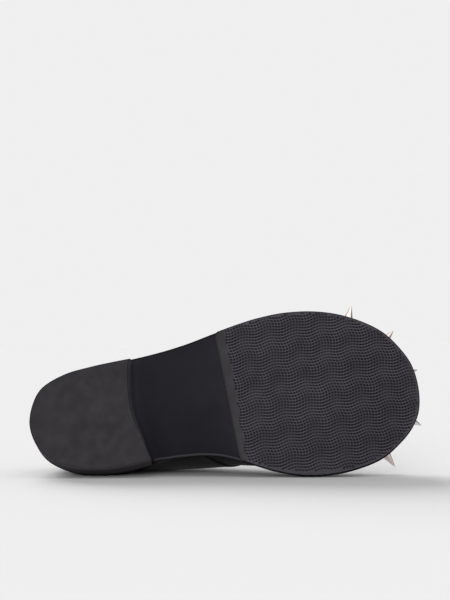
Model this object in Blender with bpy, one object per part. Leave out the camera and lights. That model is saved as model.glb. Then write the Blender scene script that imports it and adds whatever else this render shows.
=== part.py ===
"""Right studded derby shoe, lying on its inner side.

Worked out in the shoe's own frame, in millimetres: x from the back of the heel to the toe, y towards the inner
(medial) side, z up from the ground. The finished pieces are then turned onto their inner side as the shoe rests.
"""
import bpy
import bmesh
import numpy as np
from mathutils import Matrix, Vector

MM = 0.001
LENGTH = 292.0
CLEAR = 0.3

WELT_THICK = 3.0
TREAD_THICK = 6.4
WAIST_THICK = 4.8
INSOLE_THICK = 3.0
EDGE_CHAMFER = 0.8
WAIST_BEVEL = 2.0
WELT_INSET = 0.4
WELT_SEAT = 5.0
HEEL_TAPER = 1.9

WALL = 1.8
QUARTER_STEP = 1.2
TONGUE_THICK = 2.2
TONGUE_RISE = 18.0
TONGUE_HALF = 6

STUD_BASE = 10.5
STUD_HEIGHT = 17.5
STUD_TIP = 0.3
EYELET_OUTER = 7.0
EYELET_INNER = 3.6
EYELET_HEIGHT = 0.9
LACE_WIDTH = 5.0
LACE_THICK = 1.6

# outline of the outsole: place along the shoe, outer side, inner side
OUTLINE = (
    (2.6, -17.0, 15.0),
    (11.0, -29.2, 26.6),
    (30.0, -38.0, 36.9),
    (52.0, -41.5, 40.8),
    (70.0, -43.0, 40.9),
    (90.0, -44.2, 38.5),
    (108.0, -45.8, 36.2),
    (125.0, -48.2, 36.8),
    (140.0, -51.3, 39.6),
    (152.0, -53.9, 44.0),
    (165.0, -56.6, 50.1),
    (180.0, -59.1, 56.6),
    (200.0, -60.5, 62.2),
    (222.0, -58.7, 63.7),
    (240.0, -54.3, 61.6),
    (258.0, -46.4, 56.2),
    (272.0, -36.8, 46.9),
    (283.0, -23.2, 36.3),
    (289.5, -10.4, 24.8),
)
HEEL_POINT = (-1.2, -1.0)
TOE_POINT = (LENGTH, 8.0)

# height of the welt's top, where the upper stands
SEAT_HEIGHT = (
    (0.0, 27.8), (40.0, 27.2), (80.0, 24.6), (105.0, 19.8), (130.0, 14.6), (150.0, 11.4), (170.0, 10.0),
    (190.0, 9.7), (205.0, 9.8), (225.0, 10.4), (250.0, 13.0), (270.0, 16.5), (292.0, 21.8),
)
# front of the heel and back edge of the raised tread panel: place across, place along
BREAST = (
    (-46.0, 81.6), (-29.6, 78.6), (-19.0, 78.0), (-5.0, 78.1), (5.7, 80.1), (17.8, 84.0), (36.8, 89.3), (46.0, 91.5),
)
# place across, how far the front of the heel leans back from its foot to its top
BREAST_LEAN = ((-46.0, 0.0), (5.7, 0.0), (17.8, 0.5), (36.8, 2.0), (46.0, 2.0))
FLARE = ((-60.0, 146.2), (60.0, 155.4))

# upper, by share of the way round from heel back to toe tip
# share, inset of the foot of the wall on the outer and the inner side
FOOT_INSET = (
    (0.0, 4.5, 4.5), (0.1, 5.2, 5.8), (0.2, 6.0, 7.4), (0.26, 5.6, 6.2), (0.34, 4.8, 2.6), (0.42, 5.0, 1.6),
    (0.52, 6.0, 3.4), (0.6, 5.8, 6.0), (0.7, 5.2, 7.0), (0.78, 4.4, 7.8), (0.86, 5.2, 8.0),
    (1.0, 8.0, 8.0),
)
# share, crest along, crest half gap from the middle line, crest height
CREST = (
    (0.0, 7.5, 0.0, 93.5),
    (0.04, 9.5, 8.5, 93.2),
    (0.10, 20.0, 19.0, 91.0),
    (0.18, 42.0, 27.0, 87.5),
    (0.24, 61.0, 28.6, 86.5),
    (0.30, 79.0, 26.6, 90.0),
    (0.35, 94.0, 18.6, 99.0),
    (0.385, 103.5, 10.5, 107.0),
    (0.41, 112.0, 8.6, 104.3),
    (0.46, 133.0, 6.4, 95.0),
    (0.52, 157.5, 3.6, 83.0),
    (0.56, 174.0, 1.0, 74.2),
    (0.58, 182.0, 0.0, 70.0),
    (0.64, 203.0, 0.0, 61.0),
    (0.70, 219.0, 0.0, 56.5),
    (0.80, 235.0, 0.0, 53.4),
    (0.90, 243.5, 0.0, 52.0),
    (1.0, 246.0, 0.0, 51.6),
)
# place along, middle line of the upper across
MIDDLE = ((0.0, 0.0), (105.0, 0.0), (150.0, 1.5), (180.0, 3.0), (200.0, 4.5), (220.0, 6.0), (250.0, 8.0))
# share, outward lean of the foot on the outer and the inner side, foot pull, crest rise, crest pull
WALL_SHAPE = (
    (0.0, 14.0, 14.0, 26.0, 76.0, 22.0),
    (0.1, 10.0, 7.0, 25.0, 78.0, 20.0),
    (0.2, 6.0, 2.0, 24.0, 82.0, 20.0),
    (0.25, 6.0, 5.0, 24.0, 81.0, 20.0),
    (0.31, 9.0, 17.0, 27.0, 70.0, 22.0),
    (0.385, 12.0, 28.0, 36.0, 46.0, 26.0),
    (0.46, 12.0, 32.0, 34.0, 26.0, 25.0),
    (0.52, 9.0, 26.0, 30.0, 11.0, 25.0),
    (0.58, 6.0, 12.0, 27.0, 0.0, 27.0),
    (0.70, 6.0, 6.0, 24.0, 0.0, 31.0),
    (0.80, 7.0, 7.0, 22.0, 0.0, 29.0),
    (1.0, 7.0, 7.0, 20.0, 0.0, 25.0),
)
SEAM_FOOT = 0.43
SEAM_THROAT = 0.58
SEAM_BEND = 1.8

# studs: name, side, share round the toe, share up the wall
STUDS = (
    ("stud_1", "outer", 0.774, 0.112),
    ("stud_2", "outer", 0.863, 0.189),
    ("stud_3", "outer", 0.947, 0.285),
    ("stud_4", "inner", 0.939, 0.294),
    ("stud_5", "inner", 0.837, 0.175),
)
EYELET_SHARES = (0.535, 0.490, 0.445, 0.402)
EYELET_BACK = 9.5

DENSITY = {"rubber": 1150.0, "leather": 900.0, "steel": 7800.0, "cord": 900.0}

AROUND_QUARTER = 22
AROUND_VAMP = 22
UP = 11


def read(table, at):
    """Smooth curve through the rows of a table, read at the given places of its first column."""
    rows = np.array(table, float)
    knots = rows[:, 0]
    at = np.clip(np.asarray(at, float), knots[0], knots[-1])
    slopes = np.gradient(rows[:, 1:], knots, axis=0)
    i = np.clip(np.searchsorted(knots, at, side="right") - 1, 0, len(knots) - 2)
    span = knots[i + 1] - knots[i]
    u = (at - knots[i]) / span
    u, span = u[..., None], span[..., None]
    a, b = rows[i, 1:], rows[i + 1, 1:]
    value = (a * (2 * u**3 - 3 * u**2 + 1) + slopes[i] * span * (u**3 - 2 * u**2 + u)
             + b * (3 * u**2 - 2 * u**3) + slopes[i + 1] * span * (u**3 - u**2))
    return value[..., 0] if value.shape[-1] == 1 else value


def dense_outline():
    """The outsole's outline as two dense curves, outer and inner, from heel back to toe tip."""
    rows = np.array(OUTLINE)
    outer = np.column_stack((rows[:, 0], rows[:, 1]))
    inner = np.column_stack((rows[:, 0], rows[:, 2]))
    loop = np.vstack(([HEEL_POINT], outer, [TOE_POINT], inner[::-1], [HEEL_POINT]))
    count = len(outer)
    wrapped = np.vstack((loop[-3:-1], loop, loop[1:3]))
    steps = np.sqrt(np.linalg.norm(np.diff(wrapped, axis=0), axis=1))
    knots = np.concatenate(([0.0], np.cumsum(steps)))
    places = np.linspace(knots[2], knots[2 + count + 1], 1500)
    other = np.linspace(knots[-3], knots[2 + count + 1], 1500)
    table = np.column_stack((knots, wrapped))
    return {"outer": read(table, places), "inner": read(table, other)}


EDGE = dense_outline()
SHARE = {}
for edge_side, edge_points in EDGE.items():
    edge_walk = np.concatenate(([0.0], np.cumsum(np.linalg.norm(np.diff(edge_points, axis=0), axis=1))))
    SHARE[edge_side] = edge_walk / edge_walk[-1]
INWARD = {"outer": 1.0, "inner": -1.0}


def edge(side, share, inset=0.0):
    """Point of the outline at a share of its side, moved inwards, with the inward direction."""
    share = np.asarray(share, float)
    points = EDGE[side]
    x = np.interp(share, SHARE[side], points[:, 0])
    y = np.interp(share, SHARE[side], points[:, 1])
    near, far = np.clip(share - 0.004, 0.0, 1.0), np.clip(share + 0.004, 0.0, 1.0)
    dx = np.interp(far, SHARE[side], points[:, 0]) - np.interp(near, SHARE[side], points[:, 0])
    dy = np.interp(far, SHARE[side], points[:, 1]) - np.interp(near, SHARE[side], points[:, 1])
    dx = np.where((share < 0.002) | (share > 0.998), 0.0, dx)
    size = np.hypot(dx, dy)
    inward = np.stack((-dy / size, dx / size), -1) * INWARD[side]
    return np.stack((x, y), -1) + inward * np.asarray(inset)[..., None], inward


def share_at(side, x):
    """Share of the side at a place along the shoe."""
    return float(np.interp(x, EDGE[side][:, 0], SHARE[side]))


def share_on(side, line):
    """Share of the side where the outline crosses a line across the shoe."""
    points = EDGE[side][150:1350]
    ahead = points[:, 0] - read(line, points[:, 1])
    return float(np.interp(0.0, ahead, SHARE[side][150:1350]))


def seat(x):
    return read(SEAT_HEIGHT, x)


def chord(outer_share, inner_share, across, inset):
    """Points across the sole between the two sides."""
    a = edge("outer", outer_share, inset)[0]
    b = edge("inner", inner_share, inset)[0]
    return a + (b - a) * np.asarray(across)[:, None]


def solid(name, verts, faces):
    """One closed object from points in millimetres."""
    mesh = bpy.data.meshes.new(name)
    bm = bmesh.new()
    made = [bm.verts.new(Vector(p) * MM) for p in verts]
    for face in faces:
        keep = [made[i] for i in dict.fromkeys(face)]
        if len(keep) > 2:
            bm.faces.new(keep)
    bmesh.ops.remove_doubles(bm, verts=bm.verts, dist=0.02 * MM)
    bmesh.ops.dissolve_degenerate(bm, edges=bm.edges, dist=0.02 * MM)
    bmesh.ops.triangulate(bm, faces=bm.faces)
    bmesh.ops.recalc_face_normals(bm, faces=bm.faces)
    if bm.calc_volume(signed=True) < 0:
        bmesh.ops.reverse_faces(bm, faces=bm.faces)
    bm.to_mesh(mesh)
    bm.free()
    return link(name, mesh)


def slab(name, low, high):
    """Solid between a lower and an upper grid of points of the same size."""
    rows, cols = low.shape[:2]
    verts = np.vstack((low.reshape(-1, 3), high.reshape(-1, 3)))
    top = rows * cols
    faces = []
    for i in range(rows - 1):
        for j in range(cols - 1):
            a = i * cols + j
            quad = (a, a + 1, a + cols + 1, a + cols)
            faces.append(quad)
            faces.append(tuple(k + top for k in reversed(quad)))
    border = [(0, j) for j in range(cols)] + [(i, cols - 1) for i in range(1, rows)]
    border += [(rows - 1, j) for j in range(cols - 2, -1, -1)] + [(i, 0) for i in range(rows - 2, 0, -1)]
    ring = [i * cols + j for i, j in border]
    for a, b in zip(ring, ring[1:] + ring[:1]):
        faces.append((a, b, b + top, a + top))
    return solid(name, verts, faces)


def tube(name, rings, closed):
    """Solid swept through rings of points; a closed sweep joins its last ring to its first."""
    rings = np.asarray(rings)
    count, size = rings.shape[:2]
    faces = []
    for i in range(count if closed else count - 1):
        a, b = i * size, ((i + 1) % count) * size
        for j in range(size):
            k = (j + 1) % size
            faces.append((a + j, a + k, b + k, b + j))
    if not closed:
        faces.append(tuple(range(size)))
        faces.append(tuple(range((count - 1) * size, count * size))[::-1])
    return solid(name, rings.reshape(-1, 3), faces)


def spread(low, high, count):
    return np.linspace(low, high, count)


def make_outsole():
    flare = share_on("outer", FLARE), share_on("inner", FLARE)
    ball = share_at("outer", 182.0), share_at("inner", 182.0)
    pairs = [(s, s, WAIST_THICK) for s in spread(0.004, 0.30, 16)]
    last = pairs[-1]
    for k in spread(0.1, 1.0, 9):
        pairs.append((last[0] + (flare[0] - last[0]) * k, last[1] + (flare[1] - last[1]) * k, WAIST_THICK))
    ahead = 0.003
    for k in spread(0.0, 1.0, 6):
        pairs.append((flare[0] + ahead + (ball[0] - flare[0] - ahead) * k,
                      flare[1] + ahead + (ball[1] - flare[1] - ahead) * k, TREAD_THICK))
    for k in spread(0.0, 1.0, 23)[1:]:
        pairs.append((ball[0] + (0.996 - ball[0]) * k, ball[1] + (0.996 - ball[1]) * k, TREAD_THICK))
    low, high = [], []
    for outer_share, inner_share, thick in pairs:
        width = np.linalg.norm(edge("outer", outer_share)[0] - edge("inner", inner_share)[0])
        bevel = WAIST_BEVEL if thick == WAIST_THICK else EDGE_CHAMFER
        pull = min(bevel, width * 0.2)
        full = chord(outer_share, inner_share, (0.0, 1.0), 0.0)
        flat = chord(outer_share, inner_share, (0.0, 0.25, 0.5, 0.75, 1.0), 0.0)
        drawn = flat + (flat[2] - flat) * pull * 2.0 / width
        plan = np.vstack((full[:1], drawn, full[1:]))
        top = seat(plan[:, 0]) - WELT_THICK - CLEAR
        lift = np.zeros(len(plan))
        lift[[0, -1]] = pull
        low.append(np.column_stack((plan, top - thick + lift)))
        high.append(np.column_stack((plan, top)))
    return slab("outsole", np.array(low), np.array(high))


def make_heel():
    breast = share_on("outer", BREAST), share_on("inner", BREAST)
    across = (0.0, 0.12, 0.3, 0.5, 0.7, 0.88, 1.0)
    low, high = [], []
    turn = 0.215
    for level, grid in ((0.0, low), (1.0, high)):
        inset = HEEL_TAPER * (1.0 - level) + 0.5
        front = chord(breast[0], breast[1], across, inset)
        front[:, 0] = read(BREAST, front[:, 1]) - read(BREAST_LEAN, front[:, 1]) * level
        plans = [chord(s, s, across, inset) for s in spread(0.004, turn, 14)]
        plans += [plans[-1] + (front - plans[-1]) * k for k in spread(0.25, 1.0, 4)]
        for plan in plans:
            height = (seat(plan[:, 0]) - WELT_THICK - WAIST_THICK - 2.0 * CLEAR) * level
            grid.append(np.column_stack((plan, height)))
    return slab("heel", np.array(low), np.array(high))


def loop_shares(count):
    """Shares all the way round: outer side forward, inner side back."""
    forward = [("outer", s) for s in spread(0.0, 1.0, count + 1)[:-1]]
    back = [("inner", s) for s in spread(1.0, 0.0, count + 1)[:-1]]
    return forward + back


def foot_inset(side, share):
    return read(FOOT_INSET, share)[..., 0 if side == "outer" else 1]


def make_welt():
    rings = []
    for side, share in loop_shares(40):
        inset = float(foot_inset(side, share))
        outside = edge(side, share, WELT_INSET)[0]
        inside = edge(side, share, inset + WALL + WELT_SEAT)[0]
        top_out, top_in = seat(outside[0]), seat(inside[0])
        rings.append(((*outside, top_out - WELT_THICK), (*outside, top_out),
                      (*inside, top_in), (*inside, top_in - WELT_THICK)))
    return tube("welt", rings, True)


def make_insole():
    low, high = [], []
    for share in spread(0.03, 0.97, 40):
        sides = [edge(s, share, float(foot_inset(s, share)) + WALL + 0.8)[0] for s in ("outer", "inner")]
        plan = sides[0] + (sides[1] - sides[0]) * np.array((0.0, 0.33, 0.67, 1.0))[:, None]
        base = seat(plan[:, 0]) + CLEAR
        low.append(np.column_stack((plan, base)))
        high.append(np.column_stack((plan, base + INSOLE_THICK)))
    return slab("insole", np.array(low), np.array(high))


def wall_point(side, share, up):
    """Point of the last's surface, before the leather's thickness is added."""
    share, up = np.broadcast_arrays(np.asarray(share, float), np.asarray(up, float))
    sign = -INWARD[side]
    foot, inward = edge(side, share, foot_inset(side, share))
    foot = np.concatenate((foot, (seat(foot[..., 0]) + CLEAR)[..., None]), -1)
    crest_row = read(CREST, share)
    middle = read(MIDDLE, crest_row[..., 0])
    crest = np.stack((crest_row[..., 0], middle + sign * crest_row[..., 1], crest_row[..., 2]), -1)
    shape = read(WALL_SHAPE, share)
    lean = np.radians(shape[..., 0 if side == "outer" else 1])
    foot_pull, rise, crest_pull = shape[..., 2], np.radians(shape[..., 3]), shape[..., 4]
    start = np.concatenate((-inward * np.sin(lean)[..., None], np.cos(lean)[..., None]), -1)
    plan = (crest - foot)[..., :2] + inward * 14.0
    plan = plan / np.linalg.norm(plan, axis=-1)[..., None]
    ridge = ridge_slope(crest[..., 0])
    front = np.clip((share - SEAM_THROAT) / 0.02 + 1.0, 0.0, 1.0)
    drop = ridge * plan[..., 0] * front
    end = np.concatenate((plan * np.cos(rise)[..., None], (np.sin(rise) + drop)[..., None]), -1)
    u = up[..., None]
    first = foot + start * foot_pull[..., None]
    second = crest - end * crest_pull[..., None]
    return foot * (1 - u)**3 + 3 * first * u * (1 - u)**2 + 3 * second * u**2 * (1 - u) + crest * u**3


def ridge_slope(x):
    """Slope of the ridge along the front of the upper."""
    rows = np.array(CREST)[12:]
    return np.interp(x, rows[:, 1], np.gradient(rows[:, 3], rows[:, 1]))


def wall_normal(side, share, up):
    """Outward direction of the wall."""
    step = 0.003
    low_s, high_s = np.clip(share - step, 0.0, 1.0), np.clip(share + step, 0.0, 1.0)
    low_u, high_u = np.clip(up - step, 0.0, 1.0), np.clip(up + step, 0.0, 1.0)
    along = wall_point(side, high_s, up) - wall_point(side, low_s, up)
    rising = wall_point(side, share, high_u) - wall_point(side, share, low_u)
    normal = np.cross(along, rising) * INWARD[side]
    ends = np.asarray((share < 0.001) | (share > 0.999))[..., None]
    ridge = np.asarray((up > 0.999) & (share > SEAM_THROAT - 0.001))[..., None]
    middle_line = np.stack((normal[..., 0], np.zeros_like(normal[..., 1]), normal[..., 2]), -1)
    normal = np.where(ends | ridge, middle_line, normal)
    return normal / np.linalg.norm(normal, axis=-1)[..., None]


def seam(up):
    """Share at which the quarter's front edge lies, by height up the wall."""
    return SEAM_FOOT + (SEAM_THROAT - SEAM_FOOT) * (1.0 - (1.0 - np.asarray(up))**SEAM_BEND)


def make_upper():
    ups = spread(0.0, 1.0, UP + 1)
    verts, faces, index = [], [], {}

    def corner(side, layer, column, row):
        """Number of one grid point; layers are quarter, vamp and lining."""
        joined = column in (0, AROUND_QUARTER + AROUND_VAMP)
        joined = joined or (row == UP and column >= AROUND_QUARTER)
        key = ("both" if joined else side, layer, column, row)
        if key not in index:
            up = ups[row]
            if column <= AROUND_QUARTER:
                share = seam(up) * column / AROUND_QUARTER
            else:
                share = seam(up) + (1.0 - seam(up)) * (column - AROUND_QUARTER) / AROUND_VAMP
            share = np.float64(share)
            off = {"quarter": QUARTER_STEP, "vamp": 0.0, "lining": -WALL}[layer]
            point = wall_point(side, share, up) + wall_normal(side, share, up) * off
            if row == 0:
                point[2] = seat(point[0]) + CLEAR
            index[key] = len(verts)
            verts.append(point)
        return index[key]

    last = AROUND_QUARTER + AROUND_VAMP
    for side in ("outer", "inner"):
        for column in range(last):
            layer = "quarter" if column < AROUND_QUARTER else "vamp"
            for row in range(UP):
                for name in (layer, "lining"):
                    faces.append((corner(side, name, column, row), corner(side, name, column + 1, row),
                                  corner(side, name, column + 1, row + 1), corner(side, name, column, row + 1)))
            faces.append((corner(side, layer, column, 0), corner(side, layer, column + 1, 0),
                          corner(side, "lining", column + 1, 0), corner(side, "lining", column, 0)))
            if column < AROUND_QUARTER:
                faces.append((corner(side, layer, column, UP), corner(side, layer, column + 1, UP),
                              corner(side, "lining", column + 1, UP), corner(side, "lining", column, UP)))
        seam_line = AROUND_QUARTER
        for row in range(UP):
            faces.append((corner(side, "quarter", seam_line, row), corner(side, "quarter", seam_line, row + 1),
                          corner(side, "vamp", seam_line, row + 1), corner(side, "vamp", seam_line, row)))
        faces.append((corner(side, "quarter", seam_line, 0), corner(side, "vamp", seam_line, 0),
                      corner(side, "lining", seam_line, 0)))
    return solid("upper", verts, faces)


def tongue_section(share, depth, reach):
    """Points across the tongue at a share of the facing, under the wall by a depth."""
    half = []
    for side in ("outer", "inner"):
        ups = spread(reach, 1.0, TONGUE_HALF)
        points = wall_point(side, share, ups) - wall_normal(side, np.full(TONGUE_HALF, share), ups) * depth
        half.append(points)
    return np.vstack((half[0], half[1][::-1]))


def make_tongue():
    shares = list(spread(0.605, 0.585, 2)) + list(spread(0.565, 0.39, 9))
    low, high = [], []
    top_depth = WALL + 0.6
    for share in shares:
        reach = float(np.interp(share, (0.39, 0.605), (0.85, 0.70)))
        for grid, depth in ((high, top_depth), (low, top_depth + TONGUE_THICK)):
            section = tongue_section(np.float64(share), depth, reach)
            section[:, 2] -= np.interp(share, (0.39, 0.58), (3.0, 0.0))
            grid.append(section)
    for grid in (low, high):
        run = grid[-1][TONGUE_HALF] - grid[-3][TONGUE_HALF]
        run = run / np.linalg.norm(run)
        base = grid[-1]
        away = spread(-1.0, 1.0, len(base))
        for k in (0.3, 0.6, 0.85, 1.0):
            moved = base + run * (TONGUE_RISE * k * (1.0 - 0.45 * np.abs(away)**3))[:, None]
            middle = moved[TONGUE_HALF]
            grid.append(middle + (moved - middle) * (1.0 - 0.30 * k))
    return slab("tongue", np.array(low), np.array(high))


def frame_on(side, share, up, off):
    """Place on the wall and its outward direction."""
    share, up = np.float64(share), np.float64(up)
    normal = wall_normal(side, share, up)
    return wall_point(side, share, up) + normal * off, normal


def stand_on(centre, normal):
    """Matrix that stands a primitive, made about its own +Z, on a place of the wall."""
    turn = Vector((0.0, 0.0, 1.0)).rotation_difference(Vector(normal)).to_matrix().to_4x4()
    return Matrix.Translation(Vector(centre) * MM) @ turn


def link(name, mesh):
    obj = bpy.data.objects.new(name, mesh)
    PARTS.objects.link(obj)
    obj.parent = ROOT
    return obj


def make_stud(name, side, share, up):
    centre, normal = frame_on(side, share, up, CLEAR + STUD_HEIGHT / 2.0)
    mesh = bpy.data.meshes.new(name)
    bm = bmesh.new()
    bmesh.ops.create_cone(bm, cap_ends=True, segments=24, radius1=STUD_BASE / 2.0 * MM, radius2=STUD_TIP * MM,
                          depth=STUD_HEIGHT * MM, matrix=stand_on(centre, normal))
    bmesh.ops.triangulate(bm, faces=bm.faces)
    bm.to_mesh(mesh)
    bm.free()
    return link(name, mesh)


def eyelet_up(side, share):
    """Share up the wall at which the eyelets sit, a set way back from the facing's edge."""
    ups = spread(0.7, 1.0, 120)
    points = wall_point(side, np.full(120, share), ups)
    away = np.concatenate((np.cumsum(np.linalg.norm(np.diff(points, axis=0), axis=1)[::-1])[::-1], [0.0]))
    return float(np.interp(-EYELET_BACK, -away, ups))


def make_eyelet(name, side, share):
    thick = (EYELET_OUTER - EYELET_INNER) / 4.0
    up = eyelet_up(side, share)
    centre, normal = frame_on(side, share, up, QUARTER_STEP + CLEAR + EYELET_HEIGHT / 2.0)
    bpy.ops.mesh.primitive_torus_add(major_segments=16, minor_segments=6, minor_radius=thick * MM,
                                     major_radius=(EYELET_OUTER / 2.0 - thick) * MM)
    obj = bpy.context.object
    obj.name = name
    flat = Matrix.Diagonal((1.0, 1.0, EYELET_HEIGHT / 2.0 / thick, 1.0))
    obj.data.transform(stand_on(centre, normal) @ flat)
    bm = bmesh.new()
    bm.from_mesh(obj.data)
    bmesh.ops.triangulate(bm, faces=bm.faces)
    bm.to_mesh(obj.data)
    bm.free()
    for collection in list(obj.users_collection):
        collection.objects.unlink(obj)
    PARTS.objects.link(obj)
    obj.parent = ROOT
    return obj


def make_lace(name, share):
    lift = QUARTER_STEP + CLEAR + EYELET_HEIGHT + CLEAR + LACE_THICK / 2.0 + 0.2
    path = []
    for side in ("outer", "inner"):
        ups = spread(eyelet_up(side, share) - 0.004, 0.995, 5)
        points = wall_point(side, np.full(5, share), ups) + wall_normal(side, np.full(5, share), ups) * lift
        path.append(points)
    path = np.vstack((path[0], path[1][::-1]))
    run = wall_point("outer", np.float64(share - 0.01), np.float64(0.95))
    run = wall_point("outer", np.float64(share + 0.01), np.float64(0.95)) - run
    wide = run / np.linalg.norm(run)
    turn = np.arange(8) * np.pi / 4.0
    rings = []
    for i, point in enumerate(path):
        ahead = path[min(i + 1, len(path) - 1)] - path[max(i - 1, 0)]
        thick = np.cross(ahead / np.linalg.norm(ahead), wide)
        rings.append(point + np.cos(turn)[:, None] * wide * LACE_WIDTH / 2.0
                     + np.sin(turn)[:, None] * thick * LACE_THICK / 2.0)
    return tube(name, rings, False)


def paint(obj, name, colour, metal, rough):
    material = bpy.data.materials.new(name)
    material.use_nodes = True
    shader = material.node_tree.nodes["Principled BSDF"]
    shader.inputs["Base Color"].default_value = (*colour, 1.0)
    shader.inputs["Metallic"].default_value = metal
    shader.inputs["Roughness"].default_value = rough
    material.diffuse_color = (*colour, 1.0)
    obj.data.materials.append(material)


def mass_and_centre(objects):
    """Weight in kilograms and centre of mass of the pieces, from their volumes."""
    total, moment = 0.0, np.zeros(3)
    for obj, stuff in objects:
        points = np.array([v.co[:] for v in obj.data.vertices])
        for poly in obj.data.polygons:
            a, b, c = points[list(poly.vertices)]
            share = np.dot(a, np.cross(b, c)) / 6.0 * DENSITY[stuff]
            total += share
            moment += share * (a + b + c) / 4.0
    return total, moment / total


def rest_turn(objects):
    """Turn and move that lay the shoe on its inner side, on the hull face under its centre of mass."""
    weight, centre = mass_and_centre(objects)
    bm = bmesh.new()
    for obj, stuff in objects:
        for vertex in obj.data.vertices:
            bm.verts.new(vertex.co)
    hull = bmesh.ops.convex_hull(bm, input=bm.verts)
    faces = [g for g in hull["geom"] if isinstance(g, bmesh.types.BMFace)]
    best = None
    for face in faces:
        normal = face.normal
        if normal.dot(Vector(centre) - face.calc_center_median()) > 0:
            normal = -normal
        if normal.y < 0.8:
            continue
        corners = [v.co for v in face.verts]
        spot = Vector(centre) - normal * (Vector(centre) - corners[0]).dot(normal)
        inside = min((corners[(i + 1) % 3] - corners[i]).cross(spot - corners[i]).dot(face.normal)
                     / (corners[(i + 1) % 3] - corners[i]).length for i in range(3))
        if best is None or inside > best[0]:
            best = (inside, normal.copy(), [c.copy() for c in corners])
    bm.free()
    down = best[1].normalized()
    ahead = Vector((1.0, 0.0, 0.0))
    ahead = (ahead - down * ahead.dot(down)).normalized()
    up = -down
    side = up.cross(ahead)
    turn = Matrix((ahead, side, up)).to_4x4()
    placed = np.array([(turn @ v.co)[:] for obj, stuff in objects for v in obj.data.vertices])
    low, high = placed.min(0), placed.max(0)
    shift = Vector((-(low[0] + high[0]) / 2.0, -(low[1] + high[1]) / 2.0, -low[2]))
    return Matrix.Translation(shift) @ turn, weight, best


for old in list(bpy.data.objects):
    bpy.data.objects.remove(old, do_unlink=True)
PARTS = bpy.data.collections.new("studded_derby_shoe")
bpy.context.scene.collection.children.link(PARTS)
ROOT = bpy.data.objects.new("shoe", None)
PARTS.objects.link(ROOT)

RUBBER = ("moulded_rubber", (0.030, 0.029, 0.033), 0.0, 0.55)
LEATHER = ("black_leather", (0.012, 0.012, 0.014), 0.0, 0.38)
BOARD = ("insole_leather", (0.045, 0.035, 0.028), 0.0, 0.70)
CORD = ("black_cord", (0.014, 0.014, 0.015), 0.0, 0.85)
STEEL = ("stud_metal", (0.72, 0.71, 0.72), 1.0, 0.22)
DARK_STEEL = ("eyelet_metal", (0.05, 0.05, 0.055), 1.0, 0.35)

pieces = [
    (make_outsole(), "rubber", RUBBER),
    (make_heel(), "rubber", RUBBER),
    (make_welt(), "leather", LEATHER),
    (make_insole(), "leather", BOARD),
    (make_upper(), "leather", LEATHER),
    (make_tongue(), "leather", LEATHER),
]
for stud_name, stud_side, stud_share, stud_up in STUDS:
    pieces.append((make_stud(stud_name, stud_side, stud_share, stud_up), "steel", STEEL))
for number, eyelet_share in enumerate(EYELET_SHARES, 1):
    for eyelet_side in ("outer", "inner"):
        eyelet_name = f"eyelet_{eyelet_side}_{number}"
        pieces.append((make_eyelet(eyelet_name, eyelet_side, eyelet_share), "steel", DARK_STEEL))
    pieces.append((make_lace(f"lace_bar_{number}", eyelet_share), "cord", CORD))
for piece, stuff, look in pieces:
    paint(piece, f"{piece.name}_{look[0]}", *look[1:])

placement, weight, facet = rest_turn([(piece, stuff) for piece, stuff, look in pieces])
for piece, stuff, look in pieces:
    piece.data.transform(placement)
    piece.data.update()
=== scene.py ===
"""Looks of the right studded derby shoe that lies on its inner side.

Shapes are worked out in the shoe's own frame, in millimetres: x from the back of the heel to the toe, y to
the inner side, z up from the ground. Where the frame's studs and eyelets are says where the shoe lies.
"""
from math import cos, pi, radians, sin, tan, tau
import bpy
import bmesh
import numpy as np
from mathutils import Matrix, Vector


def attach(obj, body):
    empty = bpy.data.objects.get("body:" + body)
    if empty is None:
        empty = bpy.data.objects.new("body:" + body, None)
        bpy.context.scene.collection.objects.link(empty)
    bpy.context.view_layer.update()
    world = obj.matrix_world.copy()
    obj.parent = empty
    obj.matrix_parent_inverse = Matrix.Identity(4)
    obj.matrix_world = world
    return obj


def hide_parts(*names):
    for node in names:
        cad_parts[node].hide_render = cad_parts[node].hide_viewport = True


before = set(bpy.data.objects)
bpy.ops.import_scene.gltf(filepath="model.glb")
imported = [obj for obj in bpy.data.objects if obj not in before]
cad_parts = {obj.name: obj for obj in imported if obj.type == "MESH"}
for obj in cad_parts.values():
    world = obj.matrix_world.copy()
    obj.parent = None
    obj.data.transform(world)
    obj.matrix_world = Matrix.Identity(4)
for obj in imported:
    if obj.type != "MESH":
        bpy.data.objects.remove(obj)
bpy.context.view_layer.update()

MM = 0.001
LENGTH = 292.0
CLEAR = 0.3

# sizes of the solids, as built, and of the dished insole
WELT_THICK = 3.0
TREAD_THICK = 6.4
WAIST_THICK = 4.8
INSOLE_THICK = 3.0
INSOLE_GAP = 0.8
INSOLE_DISH = 0.8
INSOLE_ENDS = (0.03, 0.97)
WAIST_BEVEL = 2.0
WELT_INSET = 0.4
WELT_SEAT = 5.0
HEEL_TAPER = 1.9
WALL = 1.8
QUARTER_STEP = 1.2
TONGUE_THICK = 2.2
TONGUE_RISE = 18.0
STUD_BASE = 10.5
STUD_HEIGHT = 17.5
EYELET_OUTER = 7.0
EYELET_INNER = 3.6
EYELET_HEIGHT = 0.9
LACE_WIDTH = 5.0
LACE_THICK = 1.6

# outline of the outsole: place along the shoe, outer side, inner side
OUTLINE = (
    (2.6, -17, 15), (11, -29.2, 26.6), (30, -38, 36.9), (52, -41.5, 40.8), (70, -43, 40.9),
    (90, -44.2, 38.5), (108, -45.8, 36.2), (125, -48.2, 36.8), (140, -51.3, 39.6), (152, -53.9, 44),
    (165, -56.6, 50.1), (180, -59.1, 56.6), (200, -60.5, 62.2), (222, -58.7, 63.7), (240, -54.3, 61.6),
    (258, -46.4, 56.2), (272, -36.8, 46.9), (283, -23.2, 36.3), (289.5, -10.4, 24.8),
)
HEEL_POINT = (-1.2, -1.0)
TOE_POINT = (LENGTH, 8.0)
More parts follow.
